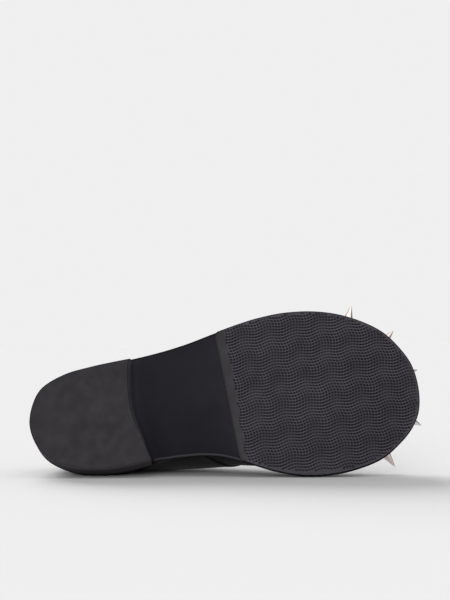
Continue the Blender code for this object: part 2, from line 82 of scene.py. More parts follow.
# height of the welt's top, where the upper stands
SEAT_HEIGHT = (
    (0, 27.8), (40, 27.2), (80, 24.6), (105, 19.8), (130, 14.6), (150, 11.4), (170, 10), (190, 9.7),
    (205, 9.8), (225, 10.4), (250, 13), (270, 16.5), (292, 21.8),
)
# front of the heel: place across, place along
BREAST = (
    (-46, 81.6), (-29.6, 78.6), (-19, 78), (-5, 78.1), (5.7, 80.1), (17.8, 84), (36.8, 89.3), (46, 91.5),
)
# place across, how far the front of the heel leans back from its foot to its top
BREAST_LEAN = ((-46, 0), (5.7, 0), (17.8, 0.5), (36.8, 2), (46, 2))
# back edge of the raised tread panel and start of its pits: place across, place along
FLARE = ((-60, 146.2), (60, 155.4))
PITS_START = ((-60, 153), (-19.4, 156.7), (17.8, 157.9), (60, 160))

# upper, by share of the way round from heel back to toe tip
# share, inset of the foot of the wall on the outer and the inner side
FOOT_INSET = (
    (0, 4.5, 4.5), (0.1, 5.2, 5.8), (0.2, 6, 7.4), (0.26, 5.6, 6.2), (0.34, 4.8, 2.6), (0.42, 5, 1.6),
    (0.52, 6, 3.4), (0.6, 5.8, 6), (0.7, 5.2, 7), (0.78, 4.4, 7.8), (0.86, 5.2, 8), (1, 8, 8),
)
# share, crest along, crest half gap from the middle line, crest height
CREST = (
    (0, 7.5, 0, 93.5), (0.04, 9.5, 8.5, 93.2), (0.1, 20, 19, 91), (0.18, 42, 27, 87.5),
    (0.24, 61, 28.6, 86.5), (0.3, 79, 26.6, 90), (0.35, 94, 18.6, 99), (0.385, 103.5, 10.5, 107),
    (0.41, 112, 8.6, 104.3), (0.46, 133, 6.4, 95), (0.52, 157.5, 3.6, 83), (0.56, 174, 1, 74.2),
    (0.58, 182, 0, 70), (0.64, 203, 0, 61), (0.7, 219, 0, 56.5), (0.8, 235, 0, 53.4), (0.9, 243.5, 0, 52),
    (1, 246, 0, 51.6),
)
# row of the crest where the closed ridge starts, share over which its slope comes in, and how far the wall
# leads in towards the crest
RIDGE_ROW = 12
RIDGE_BLEND = 0.02
CREST_LEAD = 14.0
# place along, middle line of the upper across
MIDDLE = ((0, 0), (105, 0), (150, 1.5), (180, 3), (200, 4.5), (220, 6), (250, 8))
# share, outward lean of the foot on the outer and the inner side, foot pull, crest rise, crest pull
WALL_SHAPE = (
    (0, 14, 14, 26, 76, 22), (0.1, 10, 7, 25, 78, 20), (0.2, 6, 2, 24, 82, 20), (0.25, 6, 5, 24, 81, 20),
    (0.31, 9, 17, 27, 70, 22), (0.385, 12, 28, 36, 46, 26), (0.46, 12, 32, 34, 26, 25),
    (0.52, 9, 26, 30, 11, 25), (0.58, 6, 12, 27, 0, 27), (0.7, 6, 6, 24, 0, 31), (0.8, 7, 7, 22, 0, 29),
    (1, 7, 7, 20, 0, 25),
)
SEAM_FOOT = 0.43
SEAM_THROAT = 0.58
SEAM_BEND = 1.8
# studs: name, side, share round the toe, share up the wall
STUDS = (
    ("stud_1", "outer", 0.774, 0.112),
    ("stud_2", "outer", 0.863, 0.189),
    ("stud_3", "outer", 0.947, 0.285),
    ("stud_4", "inner", 0.939, 0.294),
    ("stud_5", "inner", 0.837, 0.175),
)
EYELET_SHARES = (0.535, 0.490, 0.445, 0.402)
EYELET_BACK = 9.5
TOPLINE_ROLL = 0.8
EYELET_ROLL = 0.55
# tongue: its gap under the wall; share round, share up the wall of its side edges; share round, drop
TONGUE_GAP = 0.6
TONGUE_SIDE = ((0.39, 0.85), (0.605, 0.7))
TONGUE_DROP = ((0.39, 3), (0.58, 0))
# shares round at which it is cut, steps of its free end, and how far that end is rounded and narrowed
TONGUE_CUTS = ((0.605, 0.585, 3), (0.575, 0.39, 26))
TONGUE_END = (0.15, 0.3, 0.45, 0.6, 0.75, 0.88, 1.0)
TONGUE_ROUND = 0.45
TONGUE_NARROW = 0.30
# lace: share of the way from eyelet to facing edge, share of the full lift, share of the full width
LACE_RISE = (
    (0, 0.12, 0.55), (0, 0.5, 0.58), (0.04, 0.8, 0.66), (0.14, 0.96, 0.8), (0.3, 1, 0.94), (0.5, 1, 1),
    (0.75, 1, 1), (0.98, 1, 1),
)
# stitches of the upper and of the welt: length, gap and thickness
UPPER_STITCH = (2.3, 0.7, 0.55)
WELT_STITCH = (3.6, 1.0, 0.8)
# rows: distances behind the quarter's front edge, beside the back seam, and least inset on the welt
FRONT_ROWS = (2.0, 4.6)
BACK_ROW = 2.2
WELT_ROW = 1.3

# moulded tread: square pits on a grid that waves both ways
PIT_PITCH = 2.223
PIT_DEPTH = 0.7
PIT_LINES = ((0.12, 0.28, 0.72, 0.88), (0.15, 0.33, 0.67, 0.85))
PIT_SUNK = (0.0, 1.0, 1.0, 0.0)
# share of the full depth to which pits, row ridges and the bridges between pits are sunk:
# its mean, and how far it swings with the wave along the sole and across it
PIT_DIP = (0.852, 0.106, 0.080)
ROW_DIP = (0.138, -0.140, -0.135)
BRIDGE_DIP = (0.428, -0.072, -0.180)
# where in the wave the swing is largest: along the sole, and across it for pits, for rows and for bridges
DIP_CREST = (0.849, 0.044, 0.609, 0.936)
# how far the tread is darkened towards the near-black tone of the pits, which is painted shade: for its full
# depth, and on the plain border
PIT_SHADE_MARK = 1.17
BORDER_MARK = 0.30
TREAD_TURN = 3.5
TREAD_ORIGIN = (222.0, 3.0)
TREAD_SHIFT = (-0.695, 1.07)
TREAD_WAVE = 19.35
TREAD_SWAY = 0.85
TREAD_PHASE = (1.12, 2.64)
TREAD_SETTLE = 6
TREAD_CELLS = (76, 68)
# how far whole cells of the tread stay inside its rim
RIM_GAP = 0.35
SOLE_ROUND = 0.8
FLARE_POINTS = 700
# how far the foot of the tread panel's step runs out over the waist, and over what length that comes in
FLARE_SLOPE = 1.0
SLOPE_FADE = 5.0
# place along, how far the waist's inner edge is drawn in beside the heel
WAIST_DRAW = (
    (83, 0), (87, 1.6), (91, 2.6), (94, 2.4), (97, 1.9), (102, 1.1), (107, 0.6), (112, 0.2), (120, 0),
)
# inset and lift of the waist's lower edge, and the share of the width that it takes at most
WAIST_PROFILE = ((0, 2.9), (0, 1.5), (0.12, 0.95), (0.42, 0.45), (0.9, 0.12), (1.5, 0))
BEVEL_SHARE = 0.2
# shares of the outline: where the heel seat starts, and how far the waist runs on under the tread panel
SEAT_START = 0.004
WAIST_LAP = 0.006
# painted light on the waist, lifting the shade beside the heel's front and lightening its outer side, by
# place across: share at the heel, how fast it fades ahead of it, and share all along
HEEL_CORNER_LIGHT = ((-10, 0.62), (20, 0.4))
HEEL_CORNER_FADE = ((-10, 2.7), (20, 1.9))
WAIST_SIDE_LIGHT = ((-45, 0.155), (-10, 0.145), (15, 0.04), (40, 0))
# place across, share to which the heel's sides are lightened grey: painted light on the inner side, which
# lies in shade towards the floor
HEEL_SIDE_PAINTED_LIGHT = ((-20, 0), (25, 1))
HEEL_ROUND = 0.9
HEEL_INSET = 0.5
# plain border between the rounded edge and the pits, by share of the length
TREAD_BORDER = {
    "outer": ((0, 0.5), (0.72, 0.6), (0.8, 0.8), (0.9, 0.9), (1, 0.8)),
    "inner": ((0, 1), (0.58, 1), (0.64, 2.4), (0.7, 2.7), (0.76, 1.6), (0.82, 0.9), (0.9, 0.8), (1, 0.8)),
}

# how finely shapes are divided
EDGE_STEPS = 1500
SEARCH_STEPS = 1200
RIM_STEPS = 1400
BORDER_STEPS = 900
WAIST_RINGS = 180
WAIST_POINTS = 40
HEEL_POINTS = 70
BREAST_POINTS = 38
WELT_POINTS = 200
QUARTER_COLUMNS = 90
VAMP_COLUMNS = 84
TONGUE_POINTS = 14
STUD_SIDES = 48
EYELET_SIDES = 32
CORD_SIDES = 16
STITCH_SIDES = 6
LACE_RINGS = 90

# rubbers of the sole and of the heel, in the order of their finish numbers
SOLE_RUBBERS = ("waist", "tread", "band", "edge", "painted_light")
WAIST, TREAD, BAND, EDGE_SIDE, PAINTED_LIGHT_EDGE = range(5)
HEEL_RUBBERS = ("heel", "side", "lit_breast")
HEEL_BOTTOM, HEEL_SIDE, LIT_HEEL_FRONT = range(3)
# finish numbers of the upper
OUTSIDE, INSIDE = range(2)
# dark tone, light tone, gloss, roughness, grain, and the mark of the mesh that blends to another tone:
# painted shade in the tread's pits, painted light on the waist and the heel's sides
EDGE_LOOK = ((0.008, 0.0076, 0.009), (0.0115, 0.011, 0.0125), 0.0, 0.7, 0.2)
RUBBERS = {
    # tread: the sunk mark blends it to a near-black tone by depth, painted shade in the pits
    "tread": ((0.0383, 0.0349, 0.0427), (0.0494, 0.0452, 0.055), 0.08, 0.52, 0.25,
              ("sunk", (0.0012, 0.0011, 0.0015))),
    # waist: the mark blends it to a lighter tone, painted light beside the heel and on its outer side
    "waist": ((0.004, 0.0036, 0.006), (0.0055, 0.0049, 0.0077), 0.055, 0.44, 0.12,
              ("painted_light", (0.031, 0.029, 0.037))),
    "band": ((0.0106, 0.0092, 0.011), (0.0138, 0.0121, 0.0143), 0.15, 0.52, 0.2),
    "edge": EDGE_LOOK,
    # heel sides: the mark blends them to a lighter grey, painted light on the inner side that lies in shade
    "side": (*EDGE_LOOK, ("painted_light", (0.056, 0.052, 0.059))),
    # lighter copy of the edge rubber: painted light on the waist's inner lower edge, which faces the shaded
    # floor
    "painted_light": ((0.03, 0.0275, 0.031), (0.038, 0.035, 0.039), 0.1, 0.6, 0.2),
    # lighter copy of the heel rubber: painted light on the heel's front face, which lies in shade
    "lit_breast": ((0.048, 0.044, 0.05), (0.06, 0.055, 0.062), 0.1, 0.6, 0.2),
    "heel": ((0.0078, 0.0063, 0.0088), (0.0092, 0.0075, 0.0102), 0.13, 0.52, 0.2),
}

FLOOR_TONE = 0.50
FLOOR_REACH = 60.0
BACK_TONE = 0.866
# soft suns: where the light comes from, its width in degrees, share of the floor's sunlight, seen by gloss
SUNS = (
    ("back_sun", (-0.40, 0.78, 0.54), 40.0, 0.83, False),
    ("front_sun", (-0.10, -0.96, 0.25), 25.0, 0.17, True),
)
# what gloss mirrors: the studio is dim at the sides and back, with its front lit and a soft box overhead
DIM_SHARE = 0.24
FRONT_BOUNDS = (0.35, -0.20)
TOP_BOUNDS = (0.46, 0.80)
TOP_GAIN = 1.2

# the photograph's view, as angles in the shoe's own frame and pixels of a picture of 450 by 600
IMAGE_SIZE = (450.0, 600.0)
VIEW_DELTA = 8.30
VIEW_YAW = 3.00
VIEW_ROLL = 7.40
FOCAL_PIXELS = 1475.8
AIM_POINT = (146.0, 5.0, 5.0)
AIM_PIXEL = (223.2, 409.0)
VIEW_DISTANCE = 1100.0

spread = np.linspace


def read(table, at):
    """Smooth curve through the rows of a table, read at the given places of its first column."""
    rows = np.array(table, float)
    knots = rows[:, 0]
    at = np.clip(np.asarray(at, float), knots[0], knots[-1])
    slopes = np.gradient(rows[:, 1:], knots, axis=0)
    i = np.clip(np.searchsorted(knots, at, side="right") - 1, 0, len(knots) - 2)
    span = knots[i + 1] - knots[i]
    u = (at - knots[i]) / span
    u, span = u[..., None], span[..., None]
    a, b = rows[i, 1:], rows[i + 1, 1:]
    value = (a * (2 * u**3 - 3 * u**2 + 1) + slopes[i] * span * (u**3 - 2 * u**2 + u)
             + b * (3 * u**2 - 2 * u**3) + slopes[i + 1] * span * (u**3 - u**2))
    return value[..., 0] if value.shape[-1] == 1 else value


def straight(table, at):
    """Straight lines through the rows of a table of two columns."""
    return np.interp(at, *np.array(table).T)


def unit(v):
    """Directions of length one."""
    v = np.asarray(v, float)
    return v / np.linalg.norm(v, axis=-1)[..., None]


def walked(points, power=1.0):
    """How far along a line of points each of them lies, with every step to a power."""
    return np.concatenate(([0.0], np.cumsum(np.linalg.norm(np.diff(points, axis=0), axis=1)**power)))


def raised(plan, height):
    """Points of a ground plan at a height."""
    return np.column_stack((plan, np.broadcast_to(height, len(plan))))


def dense_outline():
    """The outsole's outline as two dense curves, outer and inner, from heel back to toe tip."""
    rows = np.array(OUTLINE)
    loop = np.vstack(([HEEL_POINT], rows[:, (0, 1)], [TOE_POINT], rows[::-1, (0, 2)], [HEEL_POINT]))
    wrapped = np.vstack((loop[-3:-1], loop, loop[1:3]))
    knots = walked(wrapped, 0.5)
    table = np.column_stack((knots, wrapped))
    toe = knots[2 + len(rows) + 1]
    return {"outer": read(table, spread(knots[2], toe, EDGE_STEPS)),
            "inner": read(table, spread(knots[-3], toe, EDGE_STEPS))}


EDGE = dense_outline()
SHARE = {side: walked(points) / walked(points)[-1] for side, points in EDGE.items()}
SIDES = ("outer", "inner")
INWARD = {"outer": 1.0, "inner": -1.0}


def edge(side, share, inset=0.0):
    """Point of the outline at a share of its side, moved inwards, with the inward direction."""
    share = np.asarray(share, float)
    reach, end = 0.004, 0.002

    def at(place):
        return np.stack([np.interp(place, SHARE[side], column) for column in EDGE[side].T], -1)

    run = at(np.clip(share + reach, 0, 1)) - at(np.clip(share - reach, 0, 1))
    run[..., 0] = np.where((share < end) | (share > 1.0 - end), 0.0, run[..., 0])
    inward = unit(np.stack((-run[..., 1], run[..., 0]), -1)) * INWARD[side]
    return at(share) + inward * np.asarray(inset)[..., None], inward


def share_on(side, line, inset=0.0, back=0.0, level=0.0):
    """Share of the side where the outline, drawn in by an inset, crosses a line of the shoe moved back."""
    shares = spread(0.1, 0.9, SEARCH_STEPS)
    points = edge(side, shares, inset)[0]
    ahead = points[:, 0] - (read(line, points[:, 1]) - back)
    if level:
        ahead += read(BREAST_LEAN, points[:, 1]) * level
    return np.interp(0.0, ahead, shares)


def seat(x):
    return read(SEAT_HEIGHT, x)


def foot_inset(side, share):
    return read(FOOT_INSET, share)[..., SIDES.index(side)]


def ridge_slope(x):
    """Slope of the ridge along the front of the upper."""
    rows = np.array(CREST)[RIDGE_ROW:]
    return np.interp(x, rows[:, 1], np.gradient(rows[:, 3], rows[:, 1]))


def wall_point(side, share, up):
    """Point of the last's surface, before the leather's thickness is added."""
    share, up = np.broadcast_arrays(share, up)
    foot, inward = edge(side, share, foot_inset(side, share))
    foot = np.concatenate((foot, (seat(foot[..., 0]) + CLEAR)[..., None]), -1)
    along, gap, height = np.moveaxis(read(CREST, share), -1, 0)
    crest = np.stack((along, read(MIDDLE, along) - INWARD[side] * gap, height), -1)
    *leans, foot_pull, rise, crest_pull = np.moveaxis(read(WALL_SHAPE, share), -1, 0)[..., None]
    lean, rise = np.radians((leans[SIDES.index(side)], rise))
    start = np.concatenate((-inward * np.sin(lean), np.cos(lean)), -1)
    plan = unit((crest - foot)[..., :2] + inward * CREST_LEAD)
    front = np.clip((share - SEAM_THROAT) / RIDGE_BLEND + 1.0, 0, 1)
    drop = ridge_slope(along) * plan[..., 0] * front
    end = np.concatenate((plan * np.cos(rise), np.sin(rise) + drop[..., None]), -1)
    u = up[..., None]
    first, second = foot + start * foot_pull, crest - end * crest_pull
    return foot * (1 - u)**3 + 3 * first * u * (1 - u)**2 + 3 * second * u**2 * (1 - u) + crest * u**3


def wall_normal(side, share, up):
    """Outward direction of the wall."""
    share, up = np.broadcast_arrays(share, up)
    step = 0.003
    (low_s, high_s), (low_u, high_u) = (np.clip((at - step, at + step), 0, 1) for at in (share, up))
    along = wall_point(side, high_s, up) - wall_point(side, low_s, up)
    rising = wall_point(side, share, high_u) - wall_point(side, share, low_u)
    normal = np.cross(along, rising) * INWARD[side]
    ends = (share < 0.001) | (share > 0.999)
    ridge = (up > 0.999) & (share > SEAM_THROAT - 0.001)
    normal[..., 1] = np.where(ends | ridge, 0.0, normal[..., 1])
    return unit(normal)


def on_wall(side, share, up, off):
    """Place at a distance off the wall, and the wall's outward direction there."""
    normal = wall_normal(side, share, up)
    return wall_point(side, share, up) + normal * np.asarray(off)[..., None], normal


def seam(up):
    """Share at which the quarter's front edge lies, by height up the wall."""
    return SEAM_FOOT + (SEAM_THROAT - SEAM_FOOT) * (1 - (1 - up)**SEAM_BEND)


def up_below_crest(side, share, distance):
    """Share up the wall at a distance below its crest."""
    ups = spread(0.5, 1.0, 200)
    away = walked(wall_point(side, share, ups)[::-1])[::-1]
    return np.interp(-distance, -away, ups)


def share_step(side, share, up):
    """Share that goes with one millimetre round the wall."""
    reach = 0.004
    run = wall_point(side, share + reach, up) - wall_point(side, share - reach, up)
    return 2.0 * reach / np.linalg.norm(run, axis=-1)


def centre_of(node):
    """Middle of a solid of the frame, from its corners."""
    corners = np.array([v.co[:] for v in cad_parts[node].data.vertices])
    return np.unique(np.round(corners, 6), axis=0).mean(0)


def eyelet_place(side, share, off):
    return on_wall(side, share, up_below_crest(side, share, EYELET_BACK), off)


def find_place():
    """Turn and move from the shoe's own frame to where its studs and eyelets lie in the frame."""
    own, there = [], []
    for name, side, share, up in STUDS:
        own.append(on_wall(side, share, up, CLEAR + STUD_HEIGHT / 2)[0])
        there.append(centre_of(name))
    for number, share in enumerate(EYELET_SHARES, 1):
        for side in SIDES:
            own.append(eyelet_place(side, share, QUARTER_STEP + CLEAR + EYELET_HEIGHT / 2)[0])
            there.append(centre_of(f"eyelet_{side}_{number}"))
    own, there = np.array(own) * MM, np.array(there)
    own_middle, there_middle = own.mean(0), there.mean(0)
    left, _, right = np.linalg.svd((own - own_middle).T @ (there - there_middle))
    turn = right.T @ np.diag((1.0, 1.0, np.linalg.det(right.T @ left.T))) @ left.T
    return turn, there_middle - turn @ own_middle


TURN, MOVE = find_place()


def placed(points):
    """Points of the shoe's own frame, in the frame's metres."""
    return np.asarray(points, float) @ TURN.T * MM + MOVE


def grid_faces(rows, cols, start=0, close=False):
    """Quads of a grid of points; a closed grid joins its last column to its first."""
    i, j = np.meshgrid(np.arange(rows - 1), np.arange(cols if close else cols - 1), indexing="ij")
    k = (j + 1) % cols
    quads = np.stack((i * cols + j, i * cols + k, (i + 1) * cols + k, (i + 1) * cols + j), -1)
    return (quads.reshape(-1, 4) + start).tolist()


class Shape:
    """Points and faces gathered for one piece, with a finish number for each face."""

    def __init__(self):
        self.points, self.faces, self.finish, self.count = [], [], [], 0
        # marks that a material reads, from 0 to 1, for the first points: how far sunk, which paints shade
        # into the pits, and how much painted light is laid on
        self.marks = {}

    def add(self, points, faces, finish=0):
        """Adds points and the faces between them, and returns the number of the first point."""
        points = np.asarray(points, float).reshape(-1, 3)
        start = self.count
        self.points.append(points)
        self.count += len(points)
        self.more(([k + start for k in face] for face in faces), finish)
        return start

    def more(self, faces, finish=0):
        for face in faces:
            kept = list(dict.fromkeys(face))
            if len(kept) > 2:
                self.faces.append(kept)
                self.finish.append(finish)

    def sweep(self, rings, closed=False, finish=0):
        """Skin through rings of points; an open sweep has its ends closed."""
        rings = np.asarray(rings, float)
        count, size = rings.shape[:2]
        faces = grid_faces(count, size, close=True)
        last = (count - 1) * size
        if closed:
            faces += [(last + j, last + (j + 1) % size, (j + 1) % size, j) for j in range(size)]
        else:
            faces += [range(size)[::-1], range(last, last + size)]
        self.add(rings, faces, finish)
        return self

    def slab(self, low, high):
        """Body between a lower and an upper grid of points of the same size."""
        rows, cols = low.shape[:2]
        top = rows * cols
        faces = grid_faces(rows, cols) + [f[::-1] for f in grid_faces(rows, cols, top)]
        number = np.arange(top).reshape(rows, cols)
        ring = [*number[0], *number[1:, -1], *number[-1, -2::-1], *number[-2:0:-1, 0]]
        faces += [(a, b, b + top, a + top) for a, b in zip(ring, ring[1:] + ring[:1])]
        self.add(np.concatenate((low.reshape(-1, 3), high.reshape(-1, 3))), faces)
        return self


def shown(obj):
    """The object, put in the scene."""
    bpy.context.scene.collection.objects.link(obj)
    return obj


def piece(name, shape, materials, nodes=(), crease=35.0, bevel=0.0):
    """One dressed piece, placed, riding on the shoe and standing for the solids named."""
    mesh = bpy.data.meshes.new(name)
    mesh.from_pydata(placed(np.vstack(shape.points)).tolist(), [], shape.faces)
    mesh.polygons.foreach_set("material_index", shape.finish)
    for mark, shares in shape.marks.items():
        values = np.zeros(shape.count, np.float32)
        values[:len(shares)] = shares
        mesh.attributes.new(mark, "FLOAT", "POINT").data.foreach_set("value", values)
    bm = bmesh.new()
    bm.from_mesh(mesh)
    bmesh.ops.remove_doubles(bm, verts=bm.verts, dist=0.01 * MM)
    bmesh.ops.recalc_face_normals(bm, faces=bm.faces)
    bm.to_mesh(mesh)
    bm.free()
    mesh.shade_smooth()
    mesh.set_sharp_from_angle(angle=radians(crease))
    obj = shown(bpy.data.objects.new(name, mesh))
    for material in materials:
        mesh.materials.append(material)
    if bevel:
        rounding = obj.modifiers.new("rounding", "BEVEL")
        rounding.width = bevel * MM
        rounding.segments = 3
        rounding.limit_method = "ANGLE"
        rounding.angle_limit = radians(50.0)
        rounding.harden_normals = True
    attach(obj, "root")
    if nodes:
        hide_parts(*nodes)


def forefoot_rim(inset):
    """Closed outline of the tread panel drawn in by an inset, with its outward directions."""
    points, outward = [], []
    for side in SIDES:
        start = share_on(side, FLARE, inset, -inset)
        place, inward = edge(side, spread(start, 1.0, RIM_STEPS), inset)
        points.append(place)
        outward.append(-inward)
    across = points[0][0] - points[1][0]
    back = points[1][0] + across * spread(0, 1, FLARE_POINTS)[:, None]
    facing = unit((across[1], -across[0]))
    rim = np.vstack((points[0], points[1][::-1], back))
    return rim, np.vstack((outward[0], outward[1][::-1], np.tile(facing, (FLARE_POINTS, 1))))


def within_forefoot(plan, inset, border=None):
    """Whether points of the ground plan lie on the tread panel, an inset and a border from its rim."""
    x, y = plan[..., 0], plan[..., 1]
    kept = x > read(FLARE, y) + inset
    shares = spread(0.3, 1.0, BORDER_STEPS)
    for side in SIDES:
        rim = edge(side, shares, inset + (read(border[side], shares) if border else 0.0))[0]
        order = np.maximum.accumulate(rim[:, 0])
        kept &= (y - np.interp(x, order, rim[:, 1])) * INWARD[side] > 0.0
        kept &= x < order[-1]
    return kept


def tread_axes(a, b):
    """Places on the mould's two axes of points of the tread's wavy grid."""
    a, b = np.broadcast_arrays(a + TREAD_SHIFT[0], b + TREAD_SHIFT[1])
    u, v = a, b
    for _ in range(TREAD_SETTLE):
        u, v = (a + TREAD_SWAY * np.sin(tau * v / TREAD_WAVE + TREAD_PHASE[0]),
                b + TREAD_SWAY * np.sin(tau * u / TREAD_WAVE + TREAD_PHASE[1]))
    return u, v


def tread_plan(a, b):
    """Ground plan of the tread's wavy grid."""
    turn = radians(TREAD_TURN)
    u, v = tread_axes(a, b)
    x = TREAD_ORIGIN[0] + u * cos(turn) + v * sin(turn)
    y = TREAD_ORIGIN[1] - u * sin(turn) + v * cos(turn)
    return np.stack((x, y), -1)


def tread_depth(a, b, sunk_a, sunk_b):
    """Depth of the tread's grid below its face: pits, bridges, row ridges and where those cross."""
    u, v = tread_axes(a, b)
    along, *across = (np.cos(tau * (axis / TREAD_WAVE - crest))
                      for axis, crest in zip((u, v, v, v), DIP_CREST))
    pits, rows, bridges = (np.clip(dip[0] + dip[1] * along + dip[2] * swing, 0, 1)
                           for dip, swing in zip((PIT_DIP, ROW_DIP, BRIDGE_DIP), across))
    bridges = bridges * pits
    crossings = np.minimum(rows, bridges)
    return PIT_DEPTH * np.where(sunk_b, np.where(sunk_a, pits, bridges), np.where(sunk_a, rows, crossings))


def sole_top(x):
    return seat(x) - WELT_THICK - CLEAR


def tread_bottom(x):
    return sole_top(x) - TREAD_THICK


def whole_quads(inside):
    """Grid quads with all corners inside, without those that only touch another at a corner."""
    kept = inside[:-1, :-1] & inside[1:, :-1] & inside[:-1, 1:] & inside[1:, 1:]
    while True:
        a, b, c, d = kept[:-1, :-1], kept[1:, :-1], kept[:-1, 1:], kept[1:, 1:]
        first = a & d & ~b & ~c
        second = b & c & ~a & ~d
        if not (first.any() or second.any()):
            return kept
        kept[:-1, :-1] &= ~first
        kept[1:, :-1] &= ~second


def rim_loop(quads):
    """Corners round the edge of a patch of quads, in order."""
    ahead = {}
    edges = {(q[k], q[(k + 1) % 4]) for q in quads for k in range(4)}
    for a, b in edges:
        if (b, a) not in edges:
            ahead[a] = b
    first = max(ahead)
    loop = [first]
    while ahead[loop[-1]] != first:
        loop.append(ahead[loop[-1]])
    return loop


def add_forefoot(shape):
    """Forefoot of the outsole, with every pit of the tread sunk into its underside."""
    lines = []
    for count, places in zip(TREAD_CELLS, PIT_LINES):
        cells = np.repeat(np.arange(count) - count // 2, len(places))
        lines.append((cells, cells + np.tile(places, count), np.tile(PIT_SUNK, count)))
    (cell_a, line_a, sunk_a), (cell_b, line_b, sunk_b) = lines
    places = line_a[:, None] * PIT_PITCH, line_b[None, :] * PIT_PITCH
    plan = tread_plan(*places)
    middles = tread_plan((cell_a[:, None] + 0.5) * PIT_PITCH, (cell_b[None, :] + 0.5) * PIT_PITCH)
    pitted = within_forefoot(middles, SOLE_ROUND, TREAD_BORDER)
    pitted &= middles[..., 0] > read(PITS_START, middles[..., 1])
    depth = tread_depth(*places, sunk_a[:, None] > 0.0, sunk_b[None, :] > 0.0) * pitted
    kept = whole_quads(within_forefoot(plan, SOLE_ROUND + RIM_GAP))
    rows, cols = plan.shape[:2]
    quads = np.array(grid_faces(rows, cols))[kept.ravel()]
    used = np.unique(quads)
    number = np.full(rows * cols, -1)
    number[used] = np.arange(len(used))
    quads = number[quads]
    plan, depth, pitted = plan.reshape(-1, 2)[used], depth.ravel()[used], pitted.ravel()[used]
    band = plan[quads].mean(1)[:, 0] < read(PITS_START, plan[quads].mean(1)[:, 1])
    loop = np.array(rim_loop(quads.tolist()))
    rim, outward = forefoot_rim(SOLE_ROUND)
    nearest = np.array([np.argmin(((rim - p)**2).sum(1)) for p in plan[loop]])
    plan[loop], depth[loop] = rim[nearest], 0.0
    facing = outward[nearest]
    floor = raised(plan, tread_bottom(plan[:, 0]) + depth)
    start = shape.add(floor, quads[~band].tolist(), TREAD)
    shape.more((quads[band] + start).tolist(), BAND)
    # painted shade: the tread darkens with the depth of its pits, and a little on the plain border
    shape.marks["sunk"] = np.where(pitted, np.clip(PIT_SHADE_MARK * depth / PIT_DEPTH, 0, 1), BORDER_MARK)
    at_flare = nearest >= len(rim) - FLARE_POINTS
    from_end = np.minimum(*(np.linalg.norm(plan[loop] - rim[k], axis=1) for k in (-1, -FLARE_POINTS)))
    reach = SOLE_ROUND + at_flare * FLARE_SLOPE * np.clip(from_end / SLOPE_FADE, 0, 1)
    rings = [floor[loop]]
    for angle in np.radians((30.0, 60.0, 90.0)):
        out = plan[loop] + facing * reach[:, None] * sin(angle)
        rings.append(raised(out, tread_bottom(out[:, 0]) + SOLE_ROUND * (1 - cos(angle))))
    # up the side: distance in from the edge, height below the top
    for inset, below in ((0.0, 3.0), (0.0, 1.6), (0.0, 0.4), (0.4, 0.0)):
        out = plan[loop] + facing * (reach - inset)[:, None]
        rings.append(raised(out, sole_top(out[:, 0]) - below))
    faces = np.array(grid_faces(len(rings), len(loop), close=True))
    at_flare = at_flare[faces[:, 0] % len(loop)]
    start = shape.add(np.vstack(rings), faces[~at_flare].tolist(), EDGE_SIDE)
    shape.more([range(start + (len(rings) - 1) * len(loop), start + len(rings) * len(loop))], EDGE_SIDE)
    shape.more((faces[at_flare] + start).tolist(), BAND)


def add_waist(shape):
    """Waist and heel seat of the outsole, with its rounded lower edge."""
    flare = {side: share_on(side, FLARE) + WAIST_LAP for side in SIDES}
    rings = []
    for k in spread(0, 1, WAIST_RINGS):
        ends = [edge(side, SEAT_START + (flare[side] - SEAT_START) * k)[0] for side in SIDES]
        ends[1] = ends[1] - (0.0, read(WAIST_DRAW, ends[1][0]))
        width = np.linalg.norm(ends[1] - ends[0])
        fit = min(1.0, width * BEVEL_SHARE / WAIST_BEVEL)
        across = (ends[1] - ends[0]) / width
        bottom = [(ends[0] + across * inset * fit, lift * fit) for inset, lift in WAIST_PROFILE]
        bottom += [(ends[0] + across * width * s, 0.0) for s in spread(0.15, 0.85, WAIST_POINTS)]
        bottom += [(ends[1] - across * inset * fit, lift * fit) for inset, lift in WAIST_PROFILE[::-1]]
        ring = [(*p, sole_top(p[0]) - WAIST_THICK + lift) for p, lift in bottom]
        ring += [(*p, sole_top(p[0])) for p in (ends[1], ends[1] - across * width * 0.5, ends[0])]
        rings.append(ring)
    start, size, turn = shape.count, len(rings[0]), len(WAIST_PROFILE)
    shape.sweep(rings, finish=WAIST)
    place = np.array(rings).reshape(-1, 3)
    y = place[:, 1]
    ahead = place[:, 0] - read(BREAST, y)
    # painted light: lifts the shade the heel casts on the waist beside it, and lightens the waist's outer
    # side
    corner_light = straight(HEEL_CORNER_LIGHT, y) * np.exp(-np.clip(ahead, 0.0, None) / straight(HEEL_CORNER_FADE, y))
    shape.marks["painted_light"] = np.concatenate((np.zeros(start), corner_light + straight(WAIST_SIDE_LIGHT, y)))
    for number, face in enumerate(shape.faces):
        corners = {(k - start) % size for k in face if k >= start}
        if len(corners) == 2 and len(face) == 4:
            if max(corners) < turn or max(corners) > size - turn + 1:
                shape.finish[number] = EDGE_SIDE
            # the inner lower edge ahead of the heel takes the lighter copy of the edge rubber: painted light
            elif min(corners) >= turn + WAIST_POINTS:
                shape.finish[number] = PAINTED_LIGHT_EDGE if ahead[face[0] - start] > 0.0 else EDGE_SIDE
        elif len(corners) == size:
            shape.finish[number] = EDGE_SIDE


def heel_loop(inset, level):
    """Outline of the heel drawn in by an inset, at a share of its height."""
    taper = HEEL_TAPER * (1 - level) + HEEL_INSET + inset
    ends = {side: share_on(side, BREAST, taper, inset, level) for side in SIDES}
    outer = edge("outer", spread(ends["outer"], 0.0, HEEL_POINTS), taper)[0]
    inner = edge("inner", spread(0.0, ends["inner"], HEEL_POINTS)[1:], taper)[0]
    y = spread(inner[-1, 1], outer[0, 1], BREAST_POINTS + 2)[1:-1]
    x = read(BREAST, y) - read(BREAST_LEAN, y) * level - inset
    return np.vstack((outer, inner, np.column_stack((x, y))))


